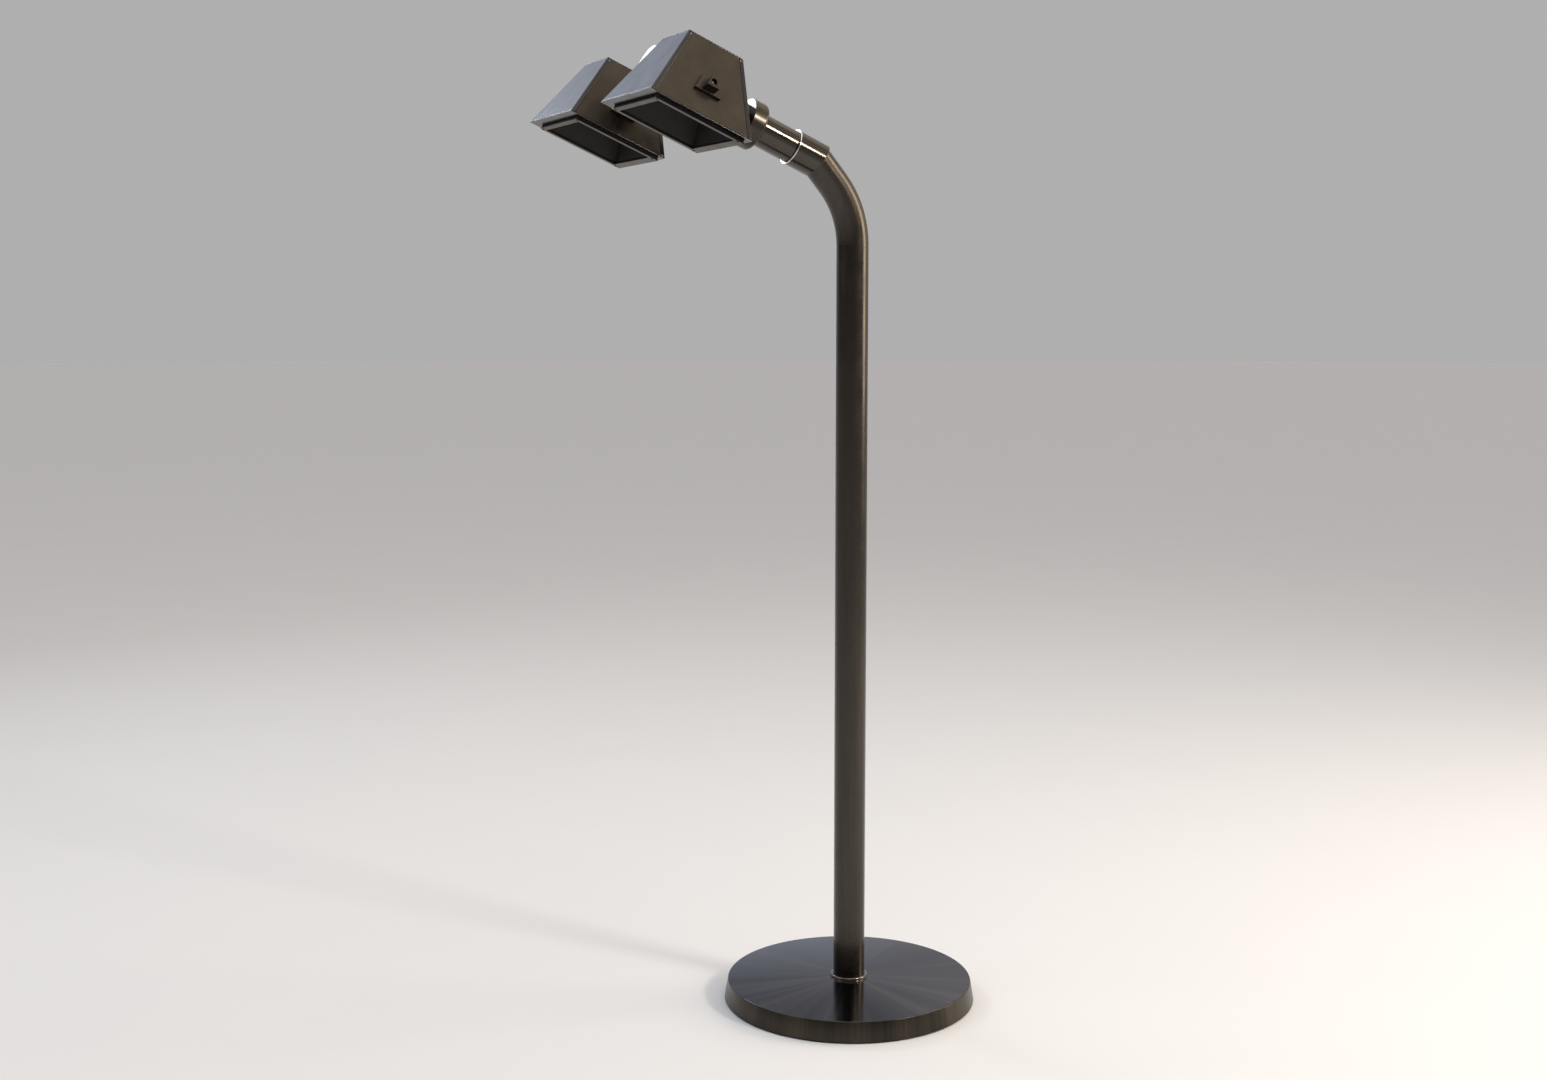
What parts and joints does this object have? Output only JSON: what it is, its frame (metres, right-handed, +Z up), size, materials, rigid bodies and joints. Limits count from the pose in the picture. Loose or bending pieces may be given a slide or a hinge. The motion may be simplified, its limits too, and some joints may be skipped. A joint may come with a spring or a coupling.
{
  "type": "twin-hood area light on a bent post",
  "caption": "Free-standing post with a bent top, a round weighted base and an upward arm that carries two square tapered lamp hoods, each tilting on a cross shaft.",
  "frame": {"origin": "on the floor, at the post's axis, in the middle of the foot pad's underside", "axes": "+Z up; the arm and the hoods reach out towards -X; the locks face -Y"},
  "size_m": [0.7698, 0.5631, 1.7824],
  "materials": {
    "post_coat": "satin dark bronze coat",
    "collar_coat": "satin dark bronze coat, smoother than the post",
    "hood_coat": "semi-gloss dark bronze coat",
    "panel_coat": "satin dark bronze coat",
    "trim_coat": "satin bronze coat",
    "lock_coat": "satin dark bronze coat",
    "base_finish": "gloss dark bronze coat on spun steel",
    "bright_trim": "polished",
    "bare_steel": "turned, bare",
    "screw_steel": "bare",
    "cast_weight": "as cast",
    "foot_rubber": "matt",
    "black_plastic": "moulded",
    "tray_black": "matt black baffle",
    "lens_glass": "clear, etched underside",
    "reflector_bright": "bright anodised",
    "led_board": "white board with a pale yellow light source",
    "sink_aluminium": "extruded"
  },
  "bodies": {
    "stand": {"base_cover": "base_finish", "base_weight": "cast_weight", "foot_pad": "foot_rubber", "pole_socket": "bare_steel", "base_bolt": "bare_steel", "pole_foot_ring": "bright_trim", "cable_gland": "black_plastic", "pole_tube": "post_coat", "coupler_core": "bare_steel", "coupler_sleeve": "post_coat", "sleeve_lip": "bright_trim", "sleeve_screws": "bare_steel"},
    "arm": {"arm_tube": "post_coat", "rear_collar": "collar_coat", "mid_collar": "collar_coat", "end_hub": "collar_coat", "collar_screws": "bare_steel", "cross_shaft": "bare_steel", "shaft_clamps": "collar_coat", "shaft_retainers": "bare_steel"},
    "left_hood": {"left_end_plates": "hood_coat", "left_top_plate": "hood_coat", "left_rim_frame": "hood_coat", "left_outer_panel": "panel_coat", "left_inner_panel": "panel_coat", "left_panel_screws": "screw_steel", "left_optic_tray": "tray_black", "left_lens": "lens_glass", "left_reflector": "reflector_bright", "left_led_module": "led_board", "left_heat_sink": "sink_aluminium", "left_trim_ring": "trim_coat", "left_ring_screws": "screw_steel", "left_lock_plate": "panel_coat", "left_lock_block": "lock_coat", "left_tilt_hub": "collar_coat"},
    "left_lock": {"left_lock_spindle": "screw_steel", "left_lock_cam": "bare_steel"},
    "right_hood": {"right_end_plates": "hood_coat", "right_top_plate": "hood_coat", "right_rim_frame": "hood_coat", "right_outer_panel": "panel_coat", "right_inner_panel": "panel_coat", "right_panel_screws": "screw_steel", "right_optic_tray": "tray_black", "right_lens": "lens_glass", "right_reflector": "reflector_bright", "right_led_module": "led_board", "right_heat_sink": "sink_aluminium", "right_trim_ring": "trim_coat", "right_ring_screws": "screw_steel", "right_lock_plate": "panel_coat", "right_lock_block": "lock_coat", "right_tilt_hub": "collar_coat"},
    "right_lock": {"right_lock_spindle": "screw_steel", "right_lock_cam": "bare_steel"}
  },
  "joints": [
    {"name": "arm_roll", "type": "hinge", "parent": "stand", "child": "arm", "pos_m": [-0.11046, 0, 1.61289], "axis": [-0.9205, 0, 0.3907], "range_deg": [-60, 60]},
    {"name": "left_tilt", "type": "hinge", "parent": "arm", "child": "left_hood", "pos_m": [-0.37511, -0.11, 1.72522], "axis": [0, -1, 0], "range_deg": [-30, 45]},
    {"name": "left_lock_turn", "type": "hinge", "parent": "left_hood", "child": "left_lock", "pos_m": [-0.41703, -0.25978, 1.68149], "axis": [0.1468, -0.9268, 0.3458], "range_deg": [0, 90]},
    {"name": "right_tilt", "type": "hinge", "parent": "arm", "child": "right_hood", "pos_m": [-0.37511, 0.11, 1.72522], "axis": [0, -1, 0], "range_deg": [-30, 45]},
    {"name": "right_lock_turn", "type": "hinge", "parent": "right_hood", "child": "right_lock", "pos_m": [-0.41703, 0.09022, 1.68149], "axis": [0.1468, -0.9268, 0.3458], "range_deg": [0, 90]}
  ]
}
